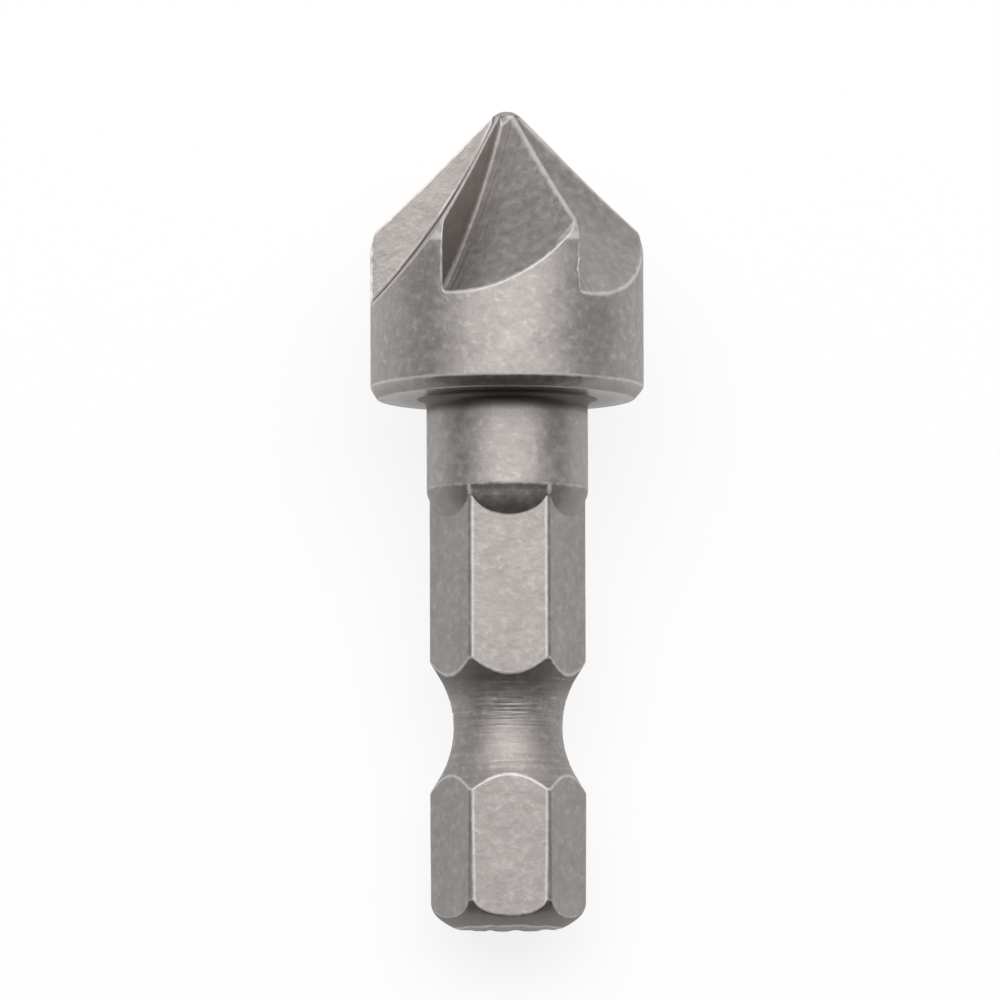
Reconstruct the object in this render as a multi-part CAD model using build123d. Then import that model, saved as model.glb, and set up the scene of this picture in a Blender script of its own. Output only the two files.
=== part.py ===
from build123d import *
import math
import os

# A six-flute 90 degree countersink bit on a quarter inch hex shank, turned and milled from one
# piece of steel. Heights are measured along the bit from the centre of its tail face. The bit is
# built standing on that face and then laid down the way it comes to rest.

# --- cutting head ---
head_diameter = 12.7
point_angle = 90.0
overall_length = 38.1
tip_round = 1.13
cone_hollow = 0.09
corner_relief_width = 0.2
corner_relief_height = 0.65
head_underside = 24.63
rim_round_width = 0.32
rim_round_height = 0.68

# --- flutes ---
flute_count = 6
flute_phase = -119.7
flute_root_height = 29.05
flute_floor_angle = 43.0
flute_corner_round = 0.2
cutter_diameter = 64.0
cutter_edge_taper = 4.5

# --- neck between the head and the hex ---
neck_diameter = 7.5
neck_fillet = 0.45
neck_bottom = 20.41
run_out_length = 1.9
run_out_radius = 4.5
run_out_sink = 0.1

# --- hex shank ---
hex_across_flats = 6.35
corner_diameter = 7.2
tail_face_diameter = 4.5
tail_round_height = 1.4
tail_round_radius = 1.55

# --- detent groove ---
groove_height = 9.38
groove_diameter = 5.05
groove_arc_radius = 4.5


def arc_centre(start, end, radius):
    """Centre of the arc that bulges away from the axis between two (radius, height) points."""
    half_chord = math.dist(start, end) / 2
    reach = math.sqrt(radius**2 - half_chord**2)
    along_r = (end[0] - start[0]) / (2 * half_chord)
    along_z = (end[1] - start[1]) / (2 * half_chord)
    middle_r = (start[0] + end[0]) / 2
    middle_z = (start[1] + end[1]) / 2
    return middle_r - along_z * reach, middle_z + along_r * reach


def arc_middle(start, end, radius):
    """Point halfway along that same arc."""
    centre_r, centre_z = arc_centre(start, end, radius)
    out_r = (start[0] + end[0]) / 2 - centre_r
    out_z = (start[1] + end[1]) / 2 - centre_z
    scale = radius / math.hypot(out_r, out_z)
    return centre_r + out_r * scale, centre_z + out_z * scale


def rim_round_radius():
    """Radius of the rim rounding that leaves the head's side without a step."""
    return (rim_round_width**2 + rim_round_height**2) / (2 * rim_round_width)


def spin(edges):
    """Solid of revolution about the bit's axis from edges drawn as (radius, height)."""
    face = make_face(Plane.XZ * Wire(edges))
    return revolve(face, Axis.Z)


def cone_height(radius):
    """Height of the cutting cone's surface at a radius."""
    slope = 1 / math.tan(math.radians(point_angle / 2))
    tip_loss = tip_round * (1 / math.sin(math.radians(point_angle / 2)) - 1)
    return overall_length + tip_loss - slope * radius


def turned_head():
    """The head, the neck and the curved run-out, whose foot is sunk in the flats, as one turning."""
    head_radius = head_diameter / 2
    neck_radius = neck_diameter / 2
    half_point = math.radians(point_angle / 2)
    tip_tangent = tip_round * math.cos(half_point)
    relief_top = head_radius - corner_relief_width
    cone_base = cone_height(head_radius)
    rim_top = head_underside + rim_round_height
    rim_foot = head_radius - rim_round_width
    apex = (0, overall_length)
    tip_side = (tip_tangent, cone_height(tip_tangent))
    tip_centre = overall_length - tip_round
    tip_mid_angle = (math.pi / 2 + half_point) / 2
    tip_middle = (tip_round * math.cos(tip_mid_angle), tip_centre + tip_round * math.sin(tip_mid_angle))
    cone_foot = (relief_top, cone_height(relief_top))
    cone_middle_r = (tip_tangent + relief_top) / 2 - cone_hollow * math.cos(half_point)
    cone_middle_z = (tip_side[1] + cone_foot[1]) / 2 - cone_hollow * math.sin(half_point)
    rim_start = (rim_foot, head_underside)
    rim_end = (head_radius, rim_top)
    fillet_end = (neck_radius + neck_fillet, head_underside)
    fillet_start = (neck_radius, head_underside - neck_fillet)
    fillet_reach = neck_fillet * (1 - math.sqrt(0.5))
    fillet_middle = (neck_radius + fillet_reach, head_underside - fillet_reach)
    run_out_foot = (hex_across_flats / 2 - run_out_sink, neck_bottom - run_out_length)
    return spin([
        Line((0, run_out_foot[1]), run_out_foot),
        RadiusArc(run_out_foot, (neck_radius, neck_bottom), run_out_radius),
        Line((neck_radius, neck_bottom), fillet_start),
        ThreePointArc(fillet_start, fillet_middle, fillet_end),
        Line(fillet_end, rim_start),
        ThreePointArc(rim_start, arc_middle(rim_start, rim_end, rim_round_radius()), rim_end),
        Line(rim_end, (head_radius, cone_base - corner_relief_height)),
        Line((head_radius, cone_base - corner_relief_height), cone_foot),
        ThreePointArc(cone_foot, (cone_middle_r, cone_middle_z), tip_side),
        ThreePointArc(tip_side, tip_middle, apex),
        Line(apex, (0, run_out_foot[1])),
    ])


def shank_envelope():
    """The turned outline that trims the hex: rounded tail, corner lands and detent groove."""
    corner_radius = corner_diameter / 2
    groove_radius = groove_diameter / 2
    groove_depth = corner_radius - groove_radius
    groove_half = math.sqrt(groove_arc_radius**2 - (groove_arc_radius - groove_depth) ** 2)
    tail_edge = (tail_face_diameter / 2, 0)
    tail_top = (corner_radius, tail_round_height)
    groove_low = (corner_radius, groove_height - groove_half)
    groove_high = (corner_radius, groove_height + groove_half)
    return spin([
        Line((0, 0), tail_edge),
        ThreePointArc(tail_edge, arc_middle(tail_edge, tail_top, tail_round_radius), tail_top),
        Line(tail_top, groove_low),
        ThreePointArc(groove_low, (groove_radius, groove_height), groove_high),
        Line(groove_high, (corner_radius, neck_bottom)),
        Line((corner_radius, neck_bottom), (0, neck_bottom)),
        Line((0, neck_bottom), (0, 0)),
    ])


def hex_shank():
    """Hex bar trimmed by the turned outline."""
    section = RegularPolygon(hex_across_flats / 2, 6, major_radius=False)
    bar = extrude(section, neck_bottom)
    return bar & shank_envelope()


def flute_cutter():
    """Space swept by the side-and-face cutter that mills the flute beside the +X plane.

    Its flat side lies on the tooth's radial cutting face, and its tapered edge leaves the floor.
    """
    cutter_radius = cutter_diameter / 2
    head_radius = head_diameter / 2
    floor_angle = math.radians(flute_floor_angle)
    taper = math.radians(cutter_edge_taper)
    centre_x = head_radius + cutter_radius * math.cos(floor_angle)
    centre_z = flute_root_height + cutter_radius * math.sin(floor_angle)
    width = head_diameter
    far_radius = cutter_radius + width * math.tan(taper)
    corner_half = (math.pi / 2 - taper) / 2
    setback = flute_corner_round * math.tan(corner_half)
    side_end = (cutter_radius - setback, 0)
    edge_start = (cutter_radius + setback * math.sin(taper), setback * math.cos(taper))
    round_centre = (cutter_radius - setback, flute_corner_round)
    bulge = math.pi / 2 - corner_half
    round_middle = (
        round_centre[0] + flute_corner_round * math.cos(bulge),
        round_centre[1] - flute_corner_round * math.sin(bulge),
    )
    outline = Wire([
        Line((0, 0), side_end),
        ThreePointArc(side_end, round_middle, edge_start),
        Line(edge_start, (far_radius, width)),
        Line((far_radius, width), (0, width)),
        Line((0, width), (0, 0)),
    ])
    disc = revolve(make_face(outline), Axis.Y)
    return Pos(centre_x, 0, centre_z) * disc


def rest_angle():
    """Angle between the floor and the axis when the bit lies on its head and a shank flat."""
    tail_edge = (tail_face_diameter / 2, 0)
    tail_top = (corner_diameter / 2, tail_round_height)
    round_r, round_z = arc_centre(tail_edge, tail_top, tail_round_radius)
    flat = hex_across_flats / 2
    flat_end = round_z - math.sqrt(tail_round_radius**2 - (flat - round_r) ** 2)
    rim_radius = rim_round_radius()
    rim_r = head_diameter / 2 - rim_radius
    rim_z = head_underside + rim_round_height
    reach = math.hypot(rim_r - flat, rim_z - flat_end)
    return math.atan2(rim_r - flat, rim_z - flat_end) + math.asin(rim_radius / reach)


def countersink_bit():
    """The whole bit, standing on its tail face."""
    bit = turned_head() + hex_shank()
    cutter = flute_cutter()
    for index in range(flute_count):
        bit -= Rot(Z=flute_phase + index * 360 / flute_count) * cutter
    return bit


def laid_down(bit):
    """The bit at rest, point away along +Y, over an origin at the bottom centre of its box."""
    lying = Rot(X=math.degrees(rest_angle()) - 90) * bit
    box = lying.bounding_box()
    return Pos(-box.center().X, -box.center().Y, -box.min.Z) * lying


os.makedirs("parts", exist_ok=True)
export_step(laid_down(countersink_bit()), "parts/countersink_bit.step")
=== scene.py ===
"""A six-flute countersink bit on a quarter inch hex shank, lying as it comes to rest.

The steel surface is drawn standing on its tail face in millimetres, heights measured along the
bit from that face, and is then laid down and scaled to metres where the solid model lies.
"""

import logging
import math
from collections.abc import Iterable
from dataclasses import dataclass, field
from enum import Enum, auto
from functools import cached_property

import bpy
import numpy as np
from mathutils import Matrix, Vector, noise


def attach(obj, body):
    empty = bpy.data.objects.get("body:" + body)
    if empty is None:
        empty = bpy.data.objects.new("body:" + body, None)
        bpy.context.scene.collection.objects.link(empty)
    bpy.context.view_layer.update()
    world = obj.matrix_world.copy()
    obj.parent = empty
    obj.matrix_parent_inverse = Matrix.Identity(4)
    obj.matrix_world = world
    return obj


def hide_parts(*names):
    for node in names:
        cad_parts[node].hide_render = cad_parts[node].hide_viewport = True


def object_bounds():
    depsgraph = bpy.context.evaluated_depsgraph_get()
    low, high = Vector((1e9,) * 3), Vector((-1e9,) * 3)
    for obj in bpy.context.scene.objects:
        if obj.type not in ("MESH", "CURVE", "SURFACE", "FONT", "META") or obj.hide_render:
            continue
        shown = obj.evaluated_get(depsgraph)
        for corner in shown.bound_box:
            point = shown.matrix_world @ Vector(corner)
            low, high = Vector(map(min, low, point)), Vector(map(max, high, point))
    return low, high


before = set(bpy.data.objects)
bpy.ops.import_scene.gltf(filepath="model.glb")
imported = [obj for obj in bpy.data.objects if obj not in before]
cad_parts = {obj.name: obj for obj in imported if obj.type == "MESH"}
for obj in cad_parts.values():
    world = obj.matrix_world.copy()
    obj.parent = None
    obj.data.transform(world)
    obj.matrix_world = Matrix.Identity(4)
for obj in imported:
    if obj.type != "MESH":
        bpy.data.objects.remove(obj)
cad_low, cad_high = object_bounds()

log = logging.getLogger("countersink_bit")

BODY = "root"
NODE = "countersink_bit"
PIECE = "countersink_bit_steel"
MM = 0.001
HALVINGS = 50
SECTORS = 6
SECTOR = 360.0 / SECTORS
HALF = SECTOR / 2
SECTOR_TURN = math.pi / 3

# Distances in mm of the close rows that keep a crease crisp.
TIGHT = (0.045, 0.1)
LOOSE = (0.05, 0.1)
STEPPED = (0.045, 0.1, 0.17)

Values = float | np.ndarray
Knots = tuple[tuple[float, float], ...]
Triples = tuple[tuple[float, float, float], ...]
Colour = tuple[float, float, float, float]
Socket = bpy.types.NodeSocket


class Region(Enum):
    """Named areas of the steel surface, each with its own tool marks."""

    TAIL_FACE = 0
    TAIL_ROUND = 1
    HEX = 2
    GROOVE = 3
    RUN_OUT = 4
    NECK = 5
    UNDERSIDE = 6
    HEAD_SIDE = 7
    FLOOR = 8
    LAND = 9
    CUTTING_FACE = 10
    TIP = 11
    RIM = 12


def faired(knots: Knots, at: Values) -> np.ndarray:
    """Reads a smooth curve through given points, without overshoot between them.

    Args:
        knots: Pairs of position and value, positions rising.
        at: Positions to read.

    Returns:
        The curve's values there.
    """
    x, y = np.array(knots, dtype=float).T
    step = np.diff(x)
    rise = np.diff(y) / step
    slope = np.concatenate([rise[:1], np.zeros(len(x) - 2), rise[-1:]])
    same = rise[:-1] * rise[1:] > 0
    both = np.where(same, rise[:-1] + rise[1:], 1.0)
    slope[1:-1] = np.where(same, 2 * rise[:-1] * rise[1:] / both, 0.0)
    at = np.clip(at, x[0], x[-1])
    i = np.clip(np.searchsorted(x, at) - 1, 0, len(step) - 1)
    t = (at - x[i]) / step[i]
    start = (2 * t**3 - 3 * t**2 + 1) * y[i] + (t**3 - 2 * t**2 + t) * step[i] * slope[i]
    end = (3 * t**2 - 2 * t**3) * y[i + 1] + (t**3 - t**2) * step[i] * slope[i + 1]
    return start + end


def eased(value: Values) -> Values:
    """Smooth step from 0 to 1, held outside that range."""
    t = np.clip(value, 0.0, 1.0)
    return t * t * (3 - 2 * t)


def worn(distance: Values, reach: float = 0.15) -> Values:
    """Share of edge wear at a distance in mm from an edge."""
    return 1 - eased(distance / reach)


def around(radius: Values, turn: Values, height: Values) -> np.ndarray:
    """Rows of x, y, z for points at a radius, an angle in radians and a height."""
    return np.stack([radius * np.cos(turn), radius * np.sin(turn), height], axis=1)


def supported(
    length: Values, count: int, start: tuple[float, ...], end: tuple[float, ...]
) -> list[Values]:
    """Places rows over a stretch, with close rows beside a crease at either end.

    Args:
        length: Length of the stretch in each column, in mm.
        count: Number of even rows between the close ones.
        start: Distances of the close rows from the first end, in mm.
        end: Distances of the close rows from the last end, in mm.

    Returns:
        For each row between the ends, its share of the way in each column.
    """
    near = max(len(start), len(end), 1)
    room = 0.4 / near
    low = [np.minimum(d / length, room * (n + 1)) for n, d in enumerate(start)]
    high = [1 - np.minimum(d / length, room * (n + 1)) for n, d in enumerate(end)][::-1]
    first = low[-1] if low else np.zeros_like(length)
    last = high[0] if high else np.ones_like(length)
    middle = [first + (last - first) * (n + 1) / (count + 1) for n in range(count)]
    return low + middle + high


@dataclass
class Shell:
    """The steel surface while it is built, as rings of points joined by faces."""

    points: list[np.ndarray] = field(default_factory=list)
    wear: list[np.ndarray] = field(default_factory=list)
    creases: list[np.ndarray] = field(default_factory=list)
    faces: list[tuple[int, ...]] = field(default_factory=list)
    regions: list[Region] = field(default_factory=list)
    count: int = 0

    def ring(
        self, points: np.ndarray, wear: Values, crease: bool | np.ndarray = False
    ) -> np.ndarray:
        """Adds a ring of points.

        Args:
            points: One row of x, y, z for each point, in mm.
            wear: Edge wear at each point, from 0 to 1.
            crease: True where an edge runs through the point.

        Returns:
            The points' numbers.
        """
        self.points.append(points)
        self.wear.append(np.broadcast_to(wear, len(points)).astype(float))
        self.creases.append(np.broadcast_to(crease, len(points)).astype(bool))
        numbers = np.arange(self.count, self.count + len(points))
        self.count += len(points)
        return numbers

    def face(self, corners: list[int], region: Region) -> None:
        """Adds a face, leaving out corners that repeat.

        Args:
            corners: Point numbers, counter-clockwise from outside.
            region: The area that the face belongs to.
        """
        kept = [c for n, c in enumerate(corners) if c != corners[n - 1]]
        if len(set(kept)) == len(kept) and len(kept) > 2:
            self.faces.append(tuple(int(c) for c in kept))
            self.regions.append(region)

    def band(self, lower: np.ndarray, upper: np.ndarray, regions: list[Region]) -> None:
        """Joins two rings that have the same columns.

        Args:
            lower: Point numbers of the lower ring.
            upper: Point numbers of the upper ring.
            regions: The region of each column's face.
        """
        for n, region in enumerate(regions):
            m = (n + 1) % len(lower)
            self.face([lower[n], lower[m], upper[m], upper[n]], region)

    def fan(self, ring: np.ndarray, centre: int, region: Region, down: bool = False) -> None:
        """Closes a ring onto one point.

        Args:
            ring: Point numbers, counter-clockwise from above.
            centre: Number of the point in the middle.
            region: The area that the faces belong to.
            down: True where the faces look down.
        """
        for n, corner in enumerate(ring):
            following = ring[(n + 1) % len(ring)]
            pair = [following, corner] if down else [corner, following]
            self.face([*pair, centre], region)

    def zip_rings(
        self, lower: np.ndarray, low_at: np.ndarray, upper: np.ndarray, up_at: np.ndarray
    ) -> None:
        """Joins two rings with different columns on the head's side.

        Args:
            lower: Point numbers of the lower ring, in order of angle.
            low_at: Their angles, rising over one turn.
            upper: Point numbers of the upper ring, in order of angle.
            up_at: Their angles, rising over one turn from about the same start.
        """
        i = j = 0
        while i < len(lower) or j < len(upper):
            next_low = low_at[i + 1] if i + 1 < len(lower) else low_at[0] + 360
            next_up = up_at[j + 1] if j + 1 < len(upper) else up_at[0] + 360
            a, b = lower[i % len(lower)], upper[j % len(upper)]
            if j >= len(upper) or (i < len(lower) and next_low <= next_up):
                i += 1
                self.face([a, lower[i % len(lower)], b], Region.HEAD_SIDE)
            else:
                j += 1
                self.face([a, upper[j % len(upper)], b], Region.HEAD_SIDE)


@dataclass
class HexBar:
    """The hex bar that the shank is turned from, as rows of points over shared columns."""

    flat: float = 3.175
    corner: float = 3.61
    tail_corner: float = 3.585
    taper_top: float = 5.5
    taper_length: float = 4.2
    front: float = -90.0
    edge_columns: tuple[float, ...] = (0.6, 1.5, 3.2)
    flat_columns: tuple[float, ...] = (21.6, 18.0, 14.4, 10.8, 7.2, 3.6)
    # Flats whose edges get a painted highlight on top of their wear.
    highlight_flats: tuple[int, ...] = (0, 2, 4)
    light_rub: float = 0.15
    rub_reach: float = 0.14
    shell: Shell = field(default_factory=Shell)
    rows: list[np.ndarray] = field(default_factory=list)

    @cached_property
    def edge(self) -> float:
        """Angle from a flat's middle to its edge with the turned corner, in degrees."""
        return math.degrees(math.acos(self.flat / self.corner))

    @cached_property
    def angles(self) -> np.ndarray:
        """Spaces the columns, closer together beside the hex's edges.

        Returns:
            Their angles over the whole turn, in degrees from the first flat's middle.
        """
        half = [*(self.edge - d for d in self.edge_columns), *self.flat_columns]
        side = [-HALF, -(HALF + self.edge) / 2, -self.edge, *(-a for a in half)]
        sector = np.array([*side, 0.0, *(-a for a in side[:0:-1])])
        return np.concatenate([sector + SECTOR * n for n in range(SECTORS)])

    @cached_property
    def offset(self) -> np.ndarray:
        """Each column's angle from the middle of its own flat, in degrees."""
        return (self.angles + HALF) % SECTOR - HALF

    @cached_property
    def at(self) -> np.ndarray:
        """Each column's angle round the axis, in radians."""
        return np.radians(self.angles + self.front)

    @cached_property
    def from_edge(self) -> np.ndarray:
        """Each column's distance from the nearest edge of the hex, in mm."""
        return np.radians(np.abs(np.abs(self.offset) - self.edge)) * self.corner

    @cached_property
    def edge_rub_and_highlight(self) -> np.ndarray:
        """Works out the wear of the hex's edges, with a painted highlight added on the edges beside
        every other flat.

        Returns:
            The wear and painted highlight in each column, from 0 to 1.
        """
        flat = np.floor((self.angles + HALF) / SECTOR) % SECTORS
        strength = np.where(np.isin(flat, self.highlight_flats), 1.0, self.light_rub)
        return strength * worn(self.from_edge, self.rub_reach)

    def corner_at(self, height: Values) -> Values:
        """Radius of the turned corners, a little less towards the tail."""
        share = eased((self.taper_top - height) / self.taper_length)
        return self.corner - (self.corner - self.tail_corner) * share

    def drawn_in(self, corner: Values) -> np.ndarray:
        """Keeps the edge columns on the edge where the turned corner is smaller.

        Args:
            corner: Radius of the turned corner, in mm.

        Returns:
            Each column's angle from its flat's middle, in degrees.
        """
        new = np.degrees(np.arccos(self.flat / corner))
        beyond = (HALF - np.abs(self.offset)) * (HALF - new) / (HALF - self.edge)
        outside = np.sign(self.offset) * (HALF - beyond)
        inside = self.offset * new / self.edge
        return np.where(np.abs(self.offset) <= self.edge + 1e-6, inside, outside)

    def reach(self, corner: Values) -> np.ndarray:
        """Radius of the hex in each column, for a radius of its turned corners."""
        return np.minimum(self.flat / np.cos(np.radians(self.drawn_in(corner))), corner)

    def row(
        self,
        radius: Values,
        height: Values,
        wear: Values,
        region: Region,
        crease: bool | np.ndarray = False,
    ) -> None:
        """Adds a row and joins it to the one below.

        Args:
            radius: Distance from the axis, in mm.
            height: Height, in mm.
            wear: Edge wear, from 0 to 1.
            region: The area between this row and the one below.
            crease: True where an edge runs through.
        """
        height = np.broadcast_to(height, self.at.shape)
        turn = self.at + np.radians(self.drawn_in(self.corner_at(height)) - self.offset)
        ring = self.shell.ring(around(radius, turn, height), wear, crease)
        if self.rows:
            self.shell.band(self.rows[-1], ring, [region] * len(ring))
        self.rows.append(ring)


@dataclass
class Shank:
    """The shank with its tail and groove, the neck, and the head's underside and rim."""

    bar: HexBar = field(default_factory=HexBar)
    tail_knots: Knots = (
        (0.0, 2.32), (0.08, 2.53), (0.17, 2.71), (0.25, 2.85), (0.34, 2.99), (0.44, 3.13),
        (0.53, 3.24), (0.62, 3.33), (0.71, 3.405), (0.8, 3.46), (0.9, 3.51), (1.0, 3.548),
        (1.1, 3.573), (1.2, 3.585),
    )
    tail_rings: tuple[float, ...] = (0.4, 0.75, 1.1, 1.4, 1.7, 1.95, 2.12, 2.22)
    tail_rows: int = 7
    tail_dent: float = 0.012
    tail_wear: tuple[float, float] = (0.8, 0.1)
    flat_rows: tuple[int, int] = (8, 12)
    saw_steps: Triples = (
        (-0.8, 0.06, 0.2), (0.42, 0.07, 0.28), (1.72, 0.055, 0.26), (-1.7, 0.03, 0.18),
    )
    saw_ripple: tuple[float, float, float] = (0.006, 0.004, 9.0)
    groove_height: float = 9.345
    groove_radius: float = 2.525
    groove_arc: float = 4.5
    groove_flank: float = 2.35
    groove_rows: int = 132
    chatter_rings: Triples = (
        (11.45, 0.012, 0.05), (11.3, 0.01, 0.04), (10.55, 0.016, 0.05), (10.34, 0.02, 0.045),
        (10.1, 0.012, 0.04), (9.94, 0.024, 0.05), (9.83, 0.014, 0.035), (9.6, 0.008, 0.04),
        (9.3, 0.007, 0.035), (8.9, 0.006, 0.05), (8.4, 0.005, 0.04), (7.62, 0.014, 0.04),
        (7.3, 0.006, 0.05),
    )
    chatter_wander: float = 0.025
    lip_offset: float = 0.05
    lip_wear: float = 22.0
    lip_limit: float = 0.75
    turned_rings: Triples = ((1.0, 27.0, 0.0), (0.7, 43.0, 1.3), (0.5, 71.0, 0.4))
    ring_marks: float = 0.0045
    groove_marks: float = 0.5
    neck_marks: float = 0.1
    marks_fade: float = 0.3
    run_out_knots: Knots = (
        (18.6, 3.04), (19.02, 3.175), (19.18, 3.285), (19.44, 3.45), (19.86, 3.6),
        (20.15, 3.66), (20.41, 3.745),
    )
    run_out_rows: int = 12
    ridge_height: float = 0.05
    ridge_width: float = 3.2
    ridge_wear: float = 0.95
    neck_radius: float = 3.745
    neck_bottom: float = 20.41
    neck_fillet: float = 0.45
    neck_wear: float = 0.6
    neck_rows: int = 34
    fillet_steps: int = 8
    underside: float = 24.63
    head_radius: float = 6.35
    rim_width: float = 0.33
    rim_worn: float = 0.13
    rim_height: float = 0.56
    rim_bulge: float = 0.025
    underside_rows: int = 8
    rim_rows: int = 5
    side_rows: int = 4
    top: float = 26.0

    def build(self, shell: Shell) -> tuple[np.ndarray, np.ndarray]:
        """Adds everything below the cutting head.

        Args:
            shell: The surface to add to.

        Returns:
            The top ring's point numbers and their angles in degrees.
        """
        self.bar.shell = shell
        low, half, shoulder = self.meetings()
        tail_rows, head_rows = self.flat_rows
        lower, upper = self.groove_height - half, self.groove_height + half
        self.draw_tail(low)
        self.draw_flats(low, lower, tail_rows, (0.6, 1.0), Region.TAIL_ROUND)
        self.draw_groove(half)
        self.draw_flats(upper, shoulder, head_rows, (1.0, 0.1), Region.GROOVE)
        self.draw_run_out(shoulder)
        self.draw_neck()
        self.draw_rim()
        return self.bar.rows[-1], self.bar.angles + self.bar.front

    def meetings(self) -> tuple[np.ndarray, np.ndarray, np.ndarray]:
        """Works out where the turned shapes meet the hex in each column.

        Returns:
            Top of the tail's rounding, half the groove's height, and foot of the run-out, in mm.
        """
        bar = self.bar
        tail = np.linspace(0.0, self.tail_knots[-1][0], 60)
        low = np.interp(bar.reach(bar.tail_corner) - 1e-4, faired(self.tail_knots, tail), tail)
        away = np.linspace(0.0, 3.3, 400)
        reach = bar.reach(bar.corner)
        half = np.interp(reach, self.groove_at(self.groove_height + away), away)
        run = np.linspace(self.run_out_knots[0][0], self.neck_bottom, 200)
        return low, half, np.interp(reach, faired(self.run_out_knots, run), run)

    def draw_tail(self, low: np.ndarray) -> None:
        """Draws the sawn tail face and the tail's rounding.

        Args:
            low: Height in mm at which the rounding meets the hex, in each column.
        """
        bar, face_edge = self.bar, self.tail_knots[0][1]
        centre = bar.shell.ring(np.array([[0.0, 0.0, self.tail_dent]]), 0.0)[0]
        for radius in self.tail_rings:
            height = self.saw_marks(radius * np.cos(bar.at))
            bar.row(radius, height, worn(face_edge - radius), Region.TAIL_FACE)
            if len(bar.rows) == 1:
                bar.shell.fan(bar.rows[0], centre, Region.TAIL_FACE, down=True)
        notch = self.saw_marks(face_edge * np.cos(bar.at))
        bar.row(face_edge, notch, 1.0, Region.TAIL_FACE, True)
        outer, inner = self.tail_wear
        for t in supported(low, self.tail_rows, (0.05, 0.11), (0.05, 0.11)):
            height = low * t + notch * np.maximum(1 - t * low / self.marks_fade, 0.0)
            wear = np.maximum(outer * worn(height), inner * worn(low - height))
            bar.row(faired(self.tail_knots, height), height, wear, Region.TAIL_ROUND)

    def draw_flats(
        self,
        bottom: np.ndarray,
        top: np.ndarray,
        count: int,
        wear: tuple[float, float],
        below: Region,
    ) -> None:
        """Draws a stretch of hex between two turned creases.

        Args:
            bottom: Height of the lower crease in each column, in mm.
            top: Height of the upper crease in each column, in mm.
            count: Number of even rows.
            wear: Edge wear at the lower and at the upper crease.
            below: The region under the lower crease.
        """
        bar, length, close = self.bar, top - bottom, (0.045, 0.1, 0.18)
        inside = supported(length, count, close, close)
        for t in [np.zeros_like(length), *inside, np.ones_like(length)]:
            height = bottom + length * t
            ends = t[0] in (0, 1)
            turned = np.maximum(wear[0] * worn(height - bottom), wear[1] * worn(top - height))
            # Between the ends, the hex's edges take their wear and the painted highlight beside
            # every other flat.
            rub = np.maximum(turned, 0.0 if ends else bar.edge_rub_and_highlight)
            region = Region.HEX if t[0] > 0 else below
            crease = np.logical_or(bar.from_edge < 1e-6, ends)
            bar.row(bar.reach(bar.corner_at(height)), height, rub, region, crease)

    def draw_groove(self, half: np.ndarray) -> None:
        """Draws the detent groove with its chatter rings.

        Args:
            half: Half the groove's height in each column, in mm.
        """
        bar, at = self.bar, self.bar.at
        for t in supported(half * 2, self.groove_rows, TIGHT, TIGHT):
            height = self.groove_height - half + 2 * half * t
            gap = np.minimum(t, 1 - t) * 2 * half
            fade = eased(gap / self.marks_fade)
            rings = self.groove_marks * self.turning(height, at)
            marks = (rings + self.chatter(height, at)) * fade
            lips = -self.lip_wear * self.chatter(height - self.lip_offset, at)
            wear = np.maximum(worn(gap), np.clip(lips, 0.0, self.lip_limit) * fade)
            bar.row(self.groove_at(height) + marks, height, wear, Region.GROOVE)

    def draw_run_out(self, shoulder: np.ndarray) -> None:
        """Draws the curved run-out, with a small ridge that carries each corner up to the neck.

        Args:
            shoulder: Height of its foot in each column, in mm.
        """
        bar, length = self.bar, self.neck_bottom - shoulder
        ridge = 1 - eased((HALF - np.abs(bar.offset)) / self.ridge_width)
        for t in supported(length, self.run_out_rows, LOOSE, LOOSE):
            height = shoulder + length * t
            edge = self.neck_wear * worn(self.neck_bottom - height)
            wear = np.maximum(edge, self.ridge_wear * ridge)
            swell = self.ridge_height * ridge * np.sin(math.pi * t)
            bar.row(faired(self.run_out_knots, height) + swell, height, wear, Region.RUN_OUT)
        bar.row(self.neck_radius, self.neck_bottom, self.neck_wear, Region.RUN_OUT, True)

    def draw_neck(self) -> None:
        """Draws the neck and the fillet under the head."""
        bar, neck_top = self.bar, self.underside - self.neck_fillet
        length = neck_top - self.neck_bottom
        for t in supported(length, self.neck_rows, LOOSE, ()):
            height = self.neck_bottom + length * t
            rings = self.neck_marks * self.turning(height, bar.at)
            radius = self.neck_radius + rings * eased(length * t / self.marks_fade)
            bar.row(radius, height, self.neck_wear * worn(length * t), Region.NECK)
        for turn in np.linspace(0.0, math.pi / 2, self.fillet_steps + 1):
            radius = self.neck_radius + self.neck_fillet * (1 - math.cos(turn))
            bar.row(radius, neck_top + self.neck_fillet * math.sin(turn), 0.0, Region.NECK)

    def draw_rim(self) -> None:
        """Draws the head's underside, its worn rim and the foot of its side."""
        bar = self.bar
        width = self.rim_width + self.rim_worn * np.maximum(np.cos(bar.at), 0.0) ** 2
        foot = self.head_radius - width
        start = self.neck_radius + self.neck_fillet
        for t in supported(foot - start, self.underside_rows, (), LOOSE):
            bar.row(start + (foot - start) * t, self.underside, 0.0, Region.UNDERSIDE)
        bar.row(foot, self.underside, 0.0, Region.UNDERSIDE, True)
        slant = np.hypot(width, self.rim_height)
        for t in supported(slant, self.rim_rows, LOOSE, TIGHT):
            radius = foot + width * t + self.rim_bulge * np.sin(math.pi * t)
            height = self.underside + self.rim_height * t
            bar.row(radius, height, worn(slant * (1 - t)), Region.RIM)
        rim_top = self.underside + self.rim_height
        bar.row(self.head_radius, rim_top, 1.0, Region.RIM, True)
        close, rows = rim_top + STEPPED[-1], self.side_rows
        even = [close + (self.top - close) * n / rows for n in range(1, rows + 1)]
        for height in [*(rim_top + step for step in STEPPED), *even]:
            bar.row(self.head_radius, height, worn(height - rim_top), Region.HEAD_SIDE)

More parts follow.
